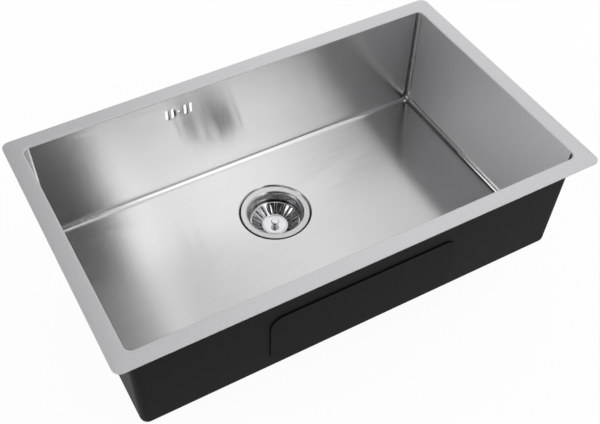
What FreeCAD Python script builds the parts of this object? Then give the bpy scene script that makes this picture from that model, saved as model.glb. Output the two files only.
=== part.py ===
import FreeCAD, Part
import math
import os

# An undermount kitchen sink: a folded steel bowl with a flat flange that is glued up under a
# worktop, sound-deadening pads and a black spray coat on its outside, and a basket strainer
# waste in its floor. All sizes are in millimetres.
#
# Frame: the origin is the middle of the flange's top face, the face that meets the worktop's
# underside. +X runs along the length, +Y to the rear wall with the overflow, +Z is up.

V = FreeCAD.Vector
UP = V(0, 0, 1)
ALONG = V(1, 0, 0)
TO_REAR = V(0, 1, 0)

# ---- Steel bowl -----------------------------------------------------------------------------
FLANGE_LENGTH = 740.0  # outside length of the flange
FLANGE_WIDTH = 440.0  # outside width of the flange
FLANGE_BAND = 25.0  # from the flange's edge to the bowl's opening
FLANGE_CORNER = 12.0  # radius of the flange's corners
SHEET = 1.2  # thickness of the steel
BOWL_DEPTH = 188.0  # from the flange's top face to the floor beside the walls
WALL_LEAN = 2.0  # how far each wall comes in between the flange and the floor
FOLD_RADIUS = 10.0  # inside radius of the upright corners and of the fold into the floor
LIP_RADIUS = 2.0  # rounding from the flange into the walls
FLOOR_FALL = 4.0  # how far the four floor panels fall towards the drain
CREASE_MARGIN = 1.0  # from the fold to where the creases start

# ---- Drain recess pressed into the floor ----------------------------------------------------
DRAIN_OFFSET = 65.0  # the drain's axis, behind the middle of the bowl
RECESS_RADIUS = 59.7  # at the bowl's floor
RECESS_FLOOR_RADIUS = 57.8  # at the foot of the recess's step
RECESS_DEPTH = 5.5  # from the floor beside the walls to the foot of the step
RECESS_DISH = 3.5  # how far the recess falls further, from its step to the hole
HOLE_RADIUS = 45.0  # the standard 90 mm hole for a strainer waste

# ---- Overflow: upright slots each side of a screw hole, in the rear wall --------------------
OVERFLOW_X = -100.0  # the screw hole, left of the middle
OVERFLOW_DROP = 32.3  # the screw hole's centre, below the flange's top face
SLOT_WIDTH = 5.0
SLOT_HEIGHT = 20.0
SLOT_FROM_SCREW = 10.8  # screw hole to the nearer slot
SLOT_PITCH = 9.7  # between two slots of a pair
SCREW_HOLE_RADIUS = 2.5

# ---- Sound pads and the coat over them ------------------------------------------------------
PAD_THICKNESS = 2.0
PAD_CORNER = 20.0
PAD_TOP = 68.4  # wall pads' top edge, below the flange's top face
PAD_FOOT = 14.6  # wall pads' lower edge, above the floor
LONG_PAD_LENGTH = 301.0  # pads on the front and rear walls
END_PAD_LENGTH = 200.0  # pads on the left and right walls
BASE_PAD_LENGTH = 200.0  # pads under the floor, along X
BASE_PAD_WIDTH = 260.0
COAT = 0.8  # thickness of the black coat
COAT_STOP = 64.0  # radius round the drain that is left bare for the waste's rubber seal
MASK_WIDTH = 60.0  # bare patch round the overflow, for the overflow's own seal
MASK_HEIGHT = 34.0

# ---- Strainer cup, pressed from thin steel --------------------------------------------------
CUP_SHEET = 0.9
CUP_RIM_RADIUS = 56.5
CUP_NECK_GAP = 0.3  # round the cup in the sink's hole
CUP_NECK_EASE = 3.2  # where the flat rim turns down into the wall
CUP_DEPTH = 42.5  # from the recess's step to the cup's floor
CUP_OUTLET_RADIUS = 21.0
CROSS_HUB_RADIUS = 9.0
CROSS_BAR = 5.0
RIM_SEAL = 1.8  # rubber ring under the cup's rim, at its thinnest, by its outer edge
RIM_SEAL_WIDTH = 3.4
RIM_SEAL_INSET = 1.6  # ring's edge inside the rim's

# ---- Waste body, moulded plastic, pulled up against the sink by one bolt --------------------
BODY_SEAL = 3.0  # rubber ring at its thinnest, by the hole
BODY_SEAL_INNER = 46.2
BODY_SEAL_WIDTH = 3.2
BODY_FLANGE_RADIUS = 56.0
BODY_GAP = 2.0  # between the sink's hole and the body's inside wall, for the overflow water
BODY_WALL = 2.8
BODY_RIBS = 8
BODY_RIB = 2.4
BODY_RIB_HEIGHT = 14.0
BODY_FLOOR_GAP = 8.0  # from the cup's floor down to the body's outlet
OUTLET_RADIUS = 23.9  # outside of the 1 1/2 inch outlet thread
OUTLET_LENGTH = 30.0
HUB_RADIUS = 8.0
HUB_HEIGHT = 13.0
HUB_GAP = 1.6  # between the cup's floor and the body's hub
HUB_RIB = 3.0
INLET_RADIUS = 10.0  # side branch for the overflow hose
INLET_BORE = 7.5
INLET_REACH = 78.0  # from the drain's axis to the branch's end
INLET_DROP = 28.0  # branch's axis, below the recess's step
INLET_COLLAR_RADIUS = 12.5  # collar at the branch's root, against which the hose stops
INLET_COLLAR_REACH = 51.0  # from the drain's axis to the collar's flat face

# ---- Clamp bolt -----------------------------------------------------------------------------
BOLT_RADIUS = 3.0
BOLT_HEAD_RADIUS = 5.5  # to the corners of its hexagon
BOLT_HEAD = 3.2
BOLT_LENGTH = 17.5
BOLT_CLEARANCE = 0.25
FIT = 0.05  # radial clearance of pieces that are pressed or screwed together

# ---- Basket, with its stopper ---------------------------------------------------------------
BASKET_SHEET = 0.8
BASKET_RADIUS = 41.3
BASKET_DROP = 17.5  # from the recess's step down to the basket's rim
BASKET_MOUTH = 38.9  # to the corners of the mouth, where the petals start
BASKET_FOOT = 21.6  # to the corners of the flat centre
BASKET_DEPTH = 12.5  # from the rim to the centre disc
SLOTS = 18
SLOT_INNER = 22.4  # radius where a slot starts
SLOT_OUTER = 38.0
SLOT_OPENING = 3.2
POST_RADIUS = 2.4
STEM_RADIUS = 2.8
POST_REACH = 6.0  # how deep the post sits in the rubber
KNOB_RADIUS = 6.7
KNOB = 3.6  # thickness of the knob
KNOB_EASE = 1.0
KNOB_RISE = 10.0  # knob's top, above the disc
RUNNING_FIT = 0.05  # between the post and the basket that turns on it
STOPPER_NECK_RADIUS = 14.5
STOPPER_RADIUS = 26.5
STOPPER_RING = 4.5  # thickness of the ring that closes the outlet
STOPPER_HOLLOW = 12.0  # radius of the hollow over the bolt's head

# ---- Places that follow from the sizes ------------------------------------------------------
OPENING_HALF_X = FLANGE_LENGTH / 2 - FLANGE_BAND
OPENING_HALF_Y = FLANGE_WIDTH / 2 - FLANGE_BAND
STEP_Z = -(BOWL_DEPTH + RECESS_DEPTH)
DISH_SLOPE = RECESS_DISH / (RECESS_FLOOR_RADIUS - HOLE_RADIUS)
CUP_FLOOR_Z = STEP_Z - CUP_DEPTH
BASKET_RIM_Z = STEP_Z - BASKET_DROP
DISC_Z = BASKET_RIM_Z - BASKET_DEPTH
PAST = 20.0  # how far a cutting tool runs past what it cuts


# ---- Drawing helpers ------------------------------------------------------------------------
def rz(radius, height):
    """A point of a turned section, drawn in the XZ plane."""
    return V(radius, 0, height)


def left_of(step):
    """Unit vector to the left of a step along a section's path."""
    return V(-step.z, 0, step.x).normalize()


def parallel(points, gap):
    """The same path, moved to its left by a gap."""
    normals = [left_of(after - at) for at, after in zip(points, points[1:])]
    moved = [points[0] + normals[0] * gap]
    for at, before, after in zip(points[1:-1], normals, normals[1:]):
        moved.append(at + (before + after) * (gap / (1 + before.dot(after))))
    moved.append(points[-1] + normals[-1] * gap)
    return moved


def turned_outline(points):
    """The solid that a closed outline makes when it turns about the Z axis."""
    section = Part.Face(Part.makePolygon(points + points[:1]))
    return section.revolve(V(0, 0, 0), UP, 360)


def turned_sheet(points, thickness):
    """A turned solid of even thickness, on the left of the path of its shown face."""
    return turned_outline(points + parallel(points, thickness)[::-1])


def ring(inner, outer, low, high):
    """A plain turned ring or washer."""
    return turned_outline([rz(inner, low), rz(outer, low), rz(outer, high), rz(inner, high)])


def hexagon(radius, low, height):
    """An upright hexagonal prism about the Z axis; the radius runs to its corners."""
    corners = []
    for i in range(6):
        angle = math.radians(60 * i)
        corners.append(V(radius * math.cos(angle), radius * math.sin(angle), low))
    return Part.Face(Part.makePolygon(corners + corners[:1])).extrude(UP * height)


def rounded_block(low, high, radius, axis):
    """A box between two corners, with its four edges along one axis rounded."""
    size = high - low
    box = Part.makeBox(size.x, size.y, size.z, low)
    along = [e for e in box.Edges if abs(e.tangentAt(e.FirstParameter).dot(axis)) > 0.9]
    return box.makeFillet(radius, along)


def at_drain(shape):
    """Moves a piece that was drawn on the Z axis to the drain's axis."""
    shape.translate(V(0, DRAIN_OFFSET, 0))
    return shape


# ---- Steel bowl -----------------------------------------------------------------------------
def dish_z(radius, above=0.0):
    """Height of the recess's dished floor at a radius, or of a face parallel to it."""
    return STEP_Z - (RECESS_FLOOR_RADIUS - radius) * DISH_SLOPE + above * math.hypot(1, DISH_SLOPE)


def tapered_box(grow):
    """The bowl's inside as a box with leaning walls, moved outwards by grow and folded round."""
    depth = BOWL_DEPTH + grow
    lean = WALL_LEAN * depth / BOWL_DEPTH
    x, y = OPENING_HALF_X + grow, OPENING_HALF_Y + grow
    wedge = Part.makeWedge(-x, 0, -y, lean - y, lean - x, x, depth, y, y - lean, x - lean)
    wedge.rotate(V(0, 0, 0), ALONG, -90)
    below_flange = [e for e in wedge.Edges if e.BoundBox.ZMin < -depth / 2]
    return wedge.makeFillet(FOLD_RADIUS + grow, below_flange)


def creased_floor(grow):
    """A shallow upside-down pyramid: four floor panels that fall to the drain."""
    inset = WALL_LEAN + FOLD_RADIUS + CREASE_MARGIN
    x, y, z = OPENING_HALF_X - inset, OPENING_HALF_Y - inset, -(BOWL_DEPTH + grow)
    corners = [V(-x, -y, z), V(x, -y, z), V(x, y, z), V(-x, y, z)]
    lowest = V(0, DRAIN_OFFSET, z - FLOOR_FALL)
    faces = [Part.Face(Part.makePolygon(corners + corners[:1]))]
    for here, there in zip(corners, corners[1:] + corners[:1]):
        faces.append(Part.Face(Part.makePolygon([here, there, lowest, here])))
    return Part.makeSolid(Part.makeShell(faces))


def recess(grow):
    """The pressed recess round the drain hole, with its step and its dished floor."""
    rise = RECESS_DEPTH - FLOOR_FALL / 2
    flare = (RECESS_RADIUS - RECESS_FLOOR_RADIUS) / rise
    top = STEP_Z + RECESS_DEPTH + FLOOR_FALL
    shown = [
        rz(RECESS_FLOOR_RADIUS + flare * (top - STEP_Z), top),
        rz(RECESS_FLOOR_RADIUS, STEP_Z),
        rz(HOLE_RADIUS, dish_z(HOLE_RADIUS)),
        rz(HOLE_RADIUS - PAST, dish_z(HOLE_RADIUS - PAST)),
    ]
    line = parallel(shown, grow)
    return at_drain(turned_outline(line + [rz(0, line[-1].z), rz(0, line[0].z)]))


def bowl_form(grow):
    """The space inside the bowl, with its walls and floor moved outwards by grow."""
    form = tapered_box(grow).fuse([creased_floor(grow), recess(grow)])
    return form.removeSplitter()


def overflow_cuts():
    """Tools that cut the overflow's slots and screw hole through the rear wall."""
    near, far = OPENING_HALF_Y - PAST, OPENING_HALF_Y + PAST
    screw = Part.makeCylinder(
        SCREW_HOLE_RADIUS, far - near, V(OVERFLOW_X, near, -OVERFLOW_DROP), TO_REAR
    )
    tools = [screw]
    for side in (-1, 1):
        for step in range(2):
            x = OVERFLOW_X + side * (SLOT_FROM_SCREW + step * SLOT_PITCH)
            low = V(x - SLOT_WIDTH / 2, near, -OVERFLOW_DROP - SLOT_HEIGHT / 2)
            high = V(x + SLOT_WIDTH / 2, far, -OVERFLOW_DROP + SLOT_HEIGHT / 2)
            tools.append(rounded_block(low, high, SLOT_WIDTH / 2 - FIT, TO_REAR))
    return tools


def edges_round_opening(shape, height, half_x, half_y):
    """The edges at one height that run round the bowl's opening."""
    reach = V(half_x + FIT, half_y + FIT, 0)
    found = []
    for edge in shape.Edges:
        box = edge.BoundBox
        level = abs(box.ZMin - height) < FIT and abs(box.ZMax - height) < FIT
        if level and max(-box.XMin, box.XMax) < reach.x and max(-box.YMin, box.YMax) < reach.y:
            found.append(edge)
    return found


def make_bowl(inside, outside):
    """The folded bowl and its flange, one sheet thick everywhere."""
    half = V(FLANGE_LENGTH / 2, FLANGE_WIDTH / 2, 0)
    flange = rounded_block(V(0, 0, -SHEET) - half, half, FLANGE_CORNER, UP)
    bowl = flange.fuse(outside).cut(inside)
    lip = edges_round_opening(bowl, 0, OPENING_HALF_X, OPENING_HALF_Y)
    bowl = bowl.makeFillet(LIP_RADIUS, lip)
    hole = Part.makeCylinder(HOLE_RADIUS, BOWL_DEPTH, V(0, DRAIN_OFFSET, STEP_Z - PAST), UP)
    return bowl.cut([hole] + overflow_cuts())


# ---- Sound pads and coat --------------------------------------------------------------------
def wall_pad_tool(length, axis, side):
    """A block in the outline of a wall pad; it reaches through the wall on one side."""
    low_z, high_z = PAD_FOOT - BOWL_DEPTH, -PAD_TOP
    if axis is TO_REAR:
        centre = V(0, side * OPENING_HALF_Y, 0)
        reach = V(length / 2, PAST, 0)
    else:
        centre = V(side * OPENING_HALF_X, 0, 0)
        reach = V(PAST, length / 2, 0)
    low, high = centre - reach + UP * low_z, centre + reach + UP * high_z
    return rounded_block(low, high, PAD_CORNER, axis)


def base_pad_tool(side):
    """A block in the outline of a floor pad, midway between the drain and an end wall."""
    fold_x = OPENING_HALF_X - WALL_LEAN - FOLD_RADIUS
    centre = V(side * (RECESS_RADIUS + fold_x) / 2, 0, -BOWL_DEPTH)
    reach = V(BASE_PAD_LENGTH / 2, BASE_PAD_WIDTH / 2, PAST)
    return rounded_block(centre - reach, centre + reach, PAD_CORNER, UP)


def make_pads(coated):
    """The pads that are stuck on the coated walls and floor."""
    outlines = {
        "front_sound_pad": wall_pad_tool(LONG_PAD_LENGTH, TO_REAR, -1),
        "rear_sound_pad": wall_pad_tool(LONG_PAD_LENGTH, TO_REAR, 1),
        "left_sound_pad": wall_pad_tool(END_PAD_LENGTH, ALONG, -1),
        "right_sound_pad": wall_pad_tool(END_PAD_LENGTH, ALONG, 1),
        "left_base_pad": base_pad_tool(-1),
        "right_base_pad": base_pad_tool(1),
    }
    layer = bowl_form(SHEET + COAT + PAD_THICKNESS).cut(coated)
    return {name: layer.common(outline) for name, outline in outlines.items()}


def make_coat(outside, coated):
    """The sprayed coat, masked off where the overflow and the waste are sealed to the steel."""
    top = Part.makeBox(FLANGE_LENGTH, FLANGE_WIDTH, PAST)
    top.translate(V(-FLANGE_LENGTH / 2, -FLANGE_WIDTH / 2, -SHEET))
    round_waste = Part.makeCylinder(COAT_STOP, PAST * 2, V(0, DRAIN_OFFSET, STEP_Z - PAST), UP)
    mask = V(MASK_WIDTH, PAST * 2, MASK_HEIGHT)
    corner = V(OVERFLOW_X, OPENING_HALF_Y, -OVERFLOW_DROP) - mask / 2
    round_overflow = Part.makeBox(mask.x, mask.y, mask.z, corner)
    return coated.cut([outside, top, round_waste, round_overflow])


# ---- Strainer cup and its seal --------------------------------------------------------------
def rim_seal_top():
    """The flat face of the rubber ring, under the cup's rim."""
    return dish_z(CUP_RIM_RADIUS - RIM_SEAL_INSET) + RIM_SEAL


def make_strainer_cup():
    """The pressed cup: a flat rim, a round wall and a floor with a cross over the outlet."""
    rim_z = rim_seal_top() + CUP_SHEET
    neck = HOLE_RADIUS - CUP_NECK_GAP - CUP_SHEET
    path = [
        rz(CUP_RIM_RADIUS, rim_z),
        rz(neck + CUP_NECK_EASE, rim_z),
        rz(neck, rim_z - CUP_NECK_EASE),
        rz(neck, CUP_FLOOR_Z),
        rz(BOLT_RADIUS + BOLT_CLEARANCE, CUP_FLOOR_Z),
    ]
    low = CUP_FLOOR_Z - PAST
    windows = ring(CROSS_HUB_RADIUS, CUP_OUTLET_RADIUS, low, low + 2 * PAST)
    bars = cross_bars(CUP_OUTLET_RADIUS, CROSS_BAR, low, low + 2 * PAST)
    return at_drain(turned_sheet(path, CUP_SHEET).cut(windows.cut(bars)))


def cross_bars(radius, width, low, high):
    """Two bars that cross on the axis."""
    reach = V(radius + PAST, width / 2, 0)
    bar = Part.makeBox(2 * reach.x, width, high - low, V(0, 0, low) - reach)
    across = bar.copy()
    across.rotate(V(0, 0, 0), UP, 90)
    return [bar, across]


def make_rim_seal():
    """The wedge-shaped rubber ring between the dished recess and the cup's flat rim."""
    outer = CUP_RIM_RADIUS - RIM_SEAL_INSET
    inner = outer - RIM_SEAL_WIDTH
    lower = [rz(inner, dish_z(inner)), rz(outer, dish_z(outer))]
    upper = [rz(outer, rim_seal_top()), rz(inner, rim_seal_top())]
    return at_drain(turned_outline(lower + upper))


# ---- Waste body and its seal ----------------------------------------------------------------
def body_top_z():
    """The flat face on which the body's rubber seal lies."""
    return dish_z(BODY_SEAL_INNER, -SHEET) - BODY_SEAL


def make_body_seal():
    """The wedge-shaped rubber ring between the sink's underside and the waste body."""
    inner, outer = BODY_SEAL_INNER, BODY_SEAL_INNER + BODY_SEAL_WIDTH
    upper = [rz(inner, dish_z(inner, -SHEET)), rz(outer, dish_z(outer, -SHEET))]
    lower = [rz(outer, body_top_z()), rz(inner, body_top_z())]
    return at_drain(turned_outline(upper + lower))


def hub_z():
    """Top face of the hub that the bolt pulls on."""
    return CUP_FLOOR_Z - CUP_SHEET - HUB_GAP


def body_rib(turn, wall_radius):
    """One upright gusset under the body's flange."""
    top = body_top_z() - BODY_WALL / 2
    corners = [
        rz(wall_radius - BODY_WALL / 2, top),
        rz(BODY_FLANGE_RADIUS - BODY_WALL / 2, top),
        rz(wall_radius - BODY_WALL / 2, top - BODY_RIB_HEIGHT),
    ]
    rib = Part.Face(Part.makePolygon(corners + corners[:1])).extrude(V(0, BODY_RIB, 0))
    rib.translate(V(0, -BODY_RIB / 2, 0))
    rib.rotate(V(0, 0, 0), UP, turn)
    return rib


def make_waste_body():
    """The moulded body: a cup round the strainer, with an outlet and an overflow branch."""
    top, inner = body_top_z(), HOLE_RADIUS + BODY_GAP
    outlet_z = CUP_FLOOR_Z - BODY_FLOOR_GAP
    bore = OUTLET_RADIUS - BODY_WALL
    path = [
        rz(BODY_FLANGE_RADIUS, top),
        rz(inner, top),
        rz(inner, outlet_z),
        rz(bore, outlet_z),
        rz(bore, outlet_z - OUTLET_LENGTH - BODY_WALL),
    ]
    ribs = [body_rib((i + 0.5) * 360 / BODY_RIBS, inner + BODY_WALL) for i in range(BODY_RIBS)]
    low = hub_z() - HUB_HEIGHT
    hub = Part.makeCylinder(HUB_RADIUS, HUB_HEIGHT, V(0, 0, low), UP)
    core = Part.makeCylinder(bore + FIT, outlet_z - low, V(0, 0, low), UP)
    bars = [core.common(bar) for bar in cross_bars(bore, HUB_RIB, low, outlet_z)]
    start = V(0, inner + BODY_WALL / 2, STEP_Z - INLET_DROP)
    branch = Part.makeCylinder(INLET_RADIUS, INLET_REACH - start.y, start, TO_REAR)
    collar = Part.makeCylinder(INLET_COLLAR_RADIUS, INLET_COLLAR_REACH - start.y, start, TO_REAR)
    body = turned_sheet(path, BODY_WALL).fuse(ribs + [hub, branch, collar] + bars)
    branch_bore = Part.makeCylinder(INLET_BORE, PAST * 2, start - TO_REAR * BODY_WALL, TO_REAR)
    bolt_bore = Part.makeCylinder(BOLT_RADIUS + FIT, HUB_HEIGHT, V(0, 0, low), UP)
    return at_drain(body.cut([branch_bore, bolt_bore]).removeSplitter())


def make_clamp_bolt():
    """The hexagon bolt from the cup's cross down into the body's hub."""
    head = hexagon(BOLT_HEAD_RADIUS, CUP_FLOOR_Z, BOLT_HEAD)
    shank = Part.makeCylinder(BOLT_RADIUS, BOLT_LENGTH, V(0, 0, CUP_FLOOR_Z - BOLT_LENGTH), UP)
    return at_drain(head.fuse(shank))


# ---- Basket and stopper ---------------------------------------------------------------------
def petal_corners(radius, height):
    """Corners of a ring with one straight side for each petal; they lie on the slots."""
    turns = [2 * math.pi * i / SLOTS for i in range(SLOTS)]
    return [V(radius * math.cos(turn), radius * math.sin(turn), height) for turn in turns]


def petal_form(mouth_z, foot_z):
    """A solid that narrows from the mouth to the foot, with one flat face for each petal."""
    mouth, foot = petal_corners(BASKET_MOUTH, mouth_z), petal_corners(BASKET_FOOT, foot_z)
    faces = [Part.Face(Part.makePolygon(ring + ring[:1])) for ring in (mouth, foot)]
    for i in range(SLOTS):
        petal = [mouth[i - 1], mouth[i], foot[i], foot[i - 1], mouth[i - 1]]
        faces.append(Part.Face(Part.makePolygon(petal)))
    return Part.makeSolid(Part.makeShell(faces))


def make_basket():
    """The slotted basket: a flat rim, a slope of flat petals and a polished centre disc."""
    under_z = BASKET_RIM_Z - BASKET_SHEET
    rim = Part.makeCylinder(BASKET_RADIUS, BASKET_SHEET, V(0, 0, under_z), UP)
    basket = petal_form(under_z, DISC_Z - BASKET_SHEET).fuse(rim)
    corner = V(SLOT_INNER, -SLOT_OPENING / 2, DISC_Z - PAST)
    slot = Part.makeBox(SLOT_OUTER - SLOT_INNER, SLOT_OPENING, PAST * 2, corner)
    bore = Part.makeCylinder(POST_RADIUS + RUNNING_FIT, PAST, V(0, 0, DISC_Z - PAST / 2), UP)
    cuts = [petal_form(BASKET_RIM_Z, DISC_Z), bore]
    for i in range(SLOTS):
        cut = slot.copy()
        cut.rotate(V(0, 0, 0), UP, i * 360 / SLOTS)
        cuts.append(cut)
    return at_drain(basket.cut(cuts))


def stopper_z():
    """Top face of the stopper, under the basket's disc."""
    return DISC_Z - BASKET_SHEET - RUNNING_FIT


def make_knob_post():
    """The lifting knob on its post, which is moulded into the rubber stopper."""
    foot, disc = stopper_z() - POST_REACH, DISC_Z + RUNNING_FIT
    knob_z = DISC_Z + KNOB_RISE
    outline = [
        rz(0, foot),
        rz(POST_RADIUS, foot),
        rz(POST_RADIUS, disc),
        rz(STEM_RADIUS, disc),
        rz(STEM_RADIUS, knob_z - KNOB),
        rz(KNOB_RADIUS, knob_z - KNOB),
        rz(KNOB_RADIUS, knob_z - KNOB_EASE),
        rz(KNOB_RADIUS - KNOB_EASE, knob_z),
        rz(0, knob_z),
    ]
    return at_drain(turned_outline(outline))


def make_stopper_seal():
    """The rubber stopper under the basket, whose flat ring closes the cup's outlet."""
    top, seat = stopper_z(), CUP_FLOOR_Z + STOPPER_RING
    socket_z = top - POST_REACH - FIT
    outline = [
        rz(POST_RADIUS + FIT, top),
        rz(STOPPER_NECK_RADIUS, top),
        rz(STOPPER_NECK_RADIUS, seat),
        rz(STOPPER_RADIUS, seat),
        rz(STOPPER_RADIUS, CUP_FLOOR_Z),
        rz(STOPPER_HOLLOW, CUP_FLOOR_Z),
        rz(STOPPER_HOLLOW, seat),
        rz(0, seat),
        rz(0, socket_z),
        rz(POST_RADIUS + FIT, socket_z),
    ]
    return at_drain(turned_outline(outline))


# ---- Build and write every piece ------------------------------------------------------------
def make_all():
    """Every piece of the sink, by node name."""
    inside, outside = bowl_form(0.0), bowl_form(SHEET)
    coated = bowl_form(SHEET + COAT)
    pieces = {"bowl": make_bowl(inside, outside), "outer_coating": make_coat(outside, coated)}
    pieces.update(make_pads(coated))
    pieces["strainer_cup"] = make_strainer_cup()
    pieces["rim_seal"] = make_rim_seal()
    pieces["body_seal"] = make_body_seal()
    pieces["waste_body"] = make_waste_body()
    pieces["clamp_bolt"] = make_clamp_bolt()
    pieces["basket"] = make_basket()
    pieces["knob_post"] = make_knob_post()
    pieces["stopper_seal"] = make_stopper_seal()
    return pieces


os.makedirs("parts", exist_ok=True)
for name, piece in make_all().items():
    print(name, len(piece.Solids), "solid", piece.isValid(), round(piece.Volume, 1), "mm3")
    piece.exportStep("parts/" + name + ".step")
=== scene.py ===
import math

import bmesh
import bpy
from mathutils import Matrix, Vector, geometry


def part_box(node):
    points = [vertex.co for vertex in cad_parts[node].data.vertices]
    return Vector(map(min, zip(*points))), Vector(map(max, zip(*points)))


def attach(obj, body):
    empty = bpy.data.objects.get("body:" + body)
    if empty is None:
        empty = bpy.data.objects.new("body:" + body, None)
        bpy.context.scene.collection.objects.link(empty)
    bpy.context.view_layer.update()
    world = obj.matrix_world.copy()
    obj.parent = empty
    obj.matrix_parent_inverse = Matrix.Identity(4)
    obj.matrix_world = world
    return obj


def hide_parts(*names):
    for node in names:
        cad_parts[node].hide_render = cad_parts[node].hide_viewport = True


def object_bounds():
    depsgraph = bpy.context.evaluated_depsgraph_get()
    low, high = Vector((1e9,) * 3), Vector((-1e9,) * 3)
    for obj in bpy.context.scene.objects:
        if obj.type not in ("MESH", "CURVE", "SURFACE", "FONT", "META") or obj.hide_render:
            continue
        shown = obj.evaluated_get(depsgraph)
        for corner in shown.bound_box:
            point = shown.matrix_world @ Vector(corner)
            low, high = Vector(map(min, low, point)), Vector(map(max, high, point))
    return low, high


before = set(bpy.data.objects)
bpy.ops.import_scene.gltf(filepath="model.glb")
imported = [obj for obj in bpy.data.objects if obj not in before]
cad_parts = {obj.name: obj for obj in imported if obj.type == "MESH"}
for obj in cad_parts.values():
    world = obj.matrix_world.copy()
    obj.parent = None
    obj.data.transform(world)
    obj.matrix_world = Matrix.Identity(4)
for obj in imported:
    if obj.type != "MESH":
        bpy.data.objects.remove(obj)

# %% [markdown]
# # Dressing an undermount kitchen sink
# The CAD frame already holds every part of the sink at its real size: the folded steel bowl, the
# black coat with its sound pads, and the strainer waste in the floor. This lesson gives the parts
# their looks. The folded, pressed and turned pieces are modelled again with fine, smooth bends,
# because bright steel shows every facet. The mouldings and rubbers keep their CAD solids and only
# get a finish. The box of the CAD model is noted first, and its lowest point later sets the ground.

cad_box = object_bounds()
MM = 0.001
UP = Vector((0, 0, 1))
print("CAD box", cad_box)

# %% [markdown]
# ## The sizes that matter
# A maker's drawing of a sink starts with a handful of numbers. The flange is read from the frame,
# and the rest repeats the drawing. Everything below is worked out from them, so that nothing has
# to be fitted by eye. The drain isn't in the middle of the bowl but nearer the rear wall.

# %% Driving sizes of the bowl
flange_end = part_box("bowl")[1]
FLANGE_X, FLANGE_Y = flange_end.x, flange_end.y  # half sizes of the flange
BAND = 25 * MM  # from the flange's edge to the opening
OPENING_X, OPENING_Y = FLANGE_X - BAND, FLANGE_Y - BAND
FLANGE_CORNER = 12 * MM
SHEET = 1.2 * MM  # thickness of the steel
DEPTH = 188 * MM  # from the flange to the floor's edge
LEAN = 2 * MM  # how far a wall comes in between the flange and the floor
FOLD = 10 * MM  # radius of the folds between walls and floor
LIP = 2 * MM  # bend from the flange into the walls
FALL = 4 * MM  # how much the floor falls towards the drain
print("opening", round(2 * OPENING_X, 4), "by", round(2 * OPENING_Y, 4), "m")

# %% Driving sizes of the drain and the coat
DRAIN = Vector((0, 65 * MM, 0))
RECESS_TOP, RECESS_FOOT, HOLE = 59.7 * MM, 57.8 * MM, 45 * MM  # radii
STEP_Z = -193.5 * MM  # foot of the recess's step
HOLE_Z = -197.0 * MM  # edge of the drain hole
COAT = 0.8 * MM  # thickness of the coat
COAT_STOP = 64 * MM  # radius round the drain that stays bare
OVERFLOW = Vector((-100 * MM, OPENING_Y, -32.3 * MM))
print("drain at", tuple(DRAIN), "and overflow at", tuple(round(c, 4) for c in OVERFLOW))

# %% [markdown]
# ## How every piece ends
# Each new piece ends the same way: its mesh becomes an object at the origin, it rides on a body
# of the frame, it stands for the CAD node it replaces, and it names its material slot. One
# function does that for all of them, so that no piece can be forgotten.

# %% From a bmesh to a finished piece
def as_object(name, form, finishes):
    mesh = bpy.data.meshes.new(name)
    form.to_mesh(mesh)
    form.free()
    for finish in finishes:
        mesh.materials.append(finish)
    made = bpy.data.objects.new(name, mesh)
    bpy.context.scene.collection.objects.link(made)
    return made


def finish_piece(name, form, body, nodes, finishes):
    for face in form.faces:
        face.smooth = True
    piece = as_object(name, form, finishes)
    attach(piece, body)
    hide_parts(*nodes)
    print(name, "has", len(piece.data.polygons), "faces")
    return piece


# %% [markdown]
# ## Sheet metal from a single skin
# A pressed piece could be modelled as a closed solid, but then each bend and each hole would have
# to be made on both sides. One skin is easier to cut and bend. Its faces are turned to agree
# first, and only then does a modifier give it the thickness of its sheet. Weighted normals keep
# the flat panels flat beside narrow bends, so that what the steel mirrors doesn't bulge.

# %% Turning a skin up and giving it a thickness
NEAR = 0.01 * MM  # points nearer than this are one point


def point_up(form):
    """Makes one skin's faces agree, with the widest of them turned upwards."""
    bmesh.ops.remove_doubles(form, verts=form.verts, dist=NEAR)
    bmesh.ops.recalc_face_normals(form, faces=form.faces)
    if sum(f.normal.z * f.calc_area() for f in form.faces) < 0:
        bmesh.ops.reverse_faces(form, faces=form.faces)


def make_sheet(piece, thickness):
    wall = piece.modifiers.new("sheet", "SOLIDIFY")
    wall.thickness = thickness
    wall.offset = -1
    wall.use_even_offset = True
    flat = piece.modifiers.new("flat panels", "WEIGHTED_NORMAL")
    flat.mode = "FACE_AREA"
    flat.keep_sharp = True
    print(piece.name, "is", round(thickness / MM, 2), "mm thick")


# %% [markdown]
# ## Noise for the finishes
# No real surface has one single colour and gloss. Painted pictures could show that, but they
# would have to be fitted to every face. A noise on the object's own coordinates needs no fitting
# and stays in place when the part moves. The same noise can lift a fine grain.

# %% A new finish and its noise
NOISE_DETAIL = 3.0


def new_finish(name):
    finish = bpy.data.materials.new(name)
    finish.use_nodes = True
    tree = finish.node_tree
    return finish, tree, tree.nodes["Principled BSDF"]


def object_noise(tree, stretch, scale):
    place = tree.nodes.new("ShaderNodeTexCoord")
    mapping = tree.nodes.new("ShaderNodeMapping")
    mapping.inputs["Scale"].default_value = stretch
    noise = tree.nodes.new("ShaderNodeTexNoise")
    noise.inputs["Scale"].default_value = scale
    noise.inputs["Detail"].default_value = NOISE_DETAIL
    tree.links.new(place.outputs["Object"], mapping.inputs["Vector"])
    tree.links.new(mapping.outputs["Vector"], noise.inputs["Vector"])
    return noise.outputs["Fac"]


print("the noise has a detail of", NOISE_DETAIL)

# %% What the noise drives: a value, a colour or a bump
NOISE_LOW, NOISE_HIGH = 0.3, 0.7  # most of the noise lies between these


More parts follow.
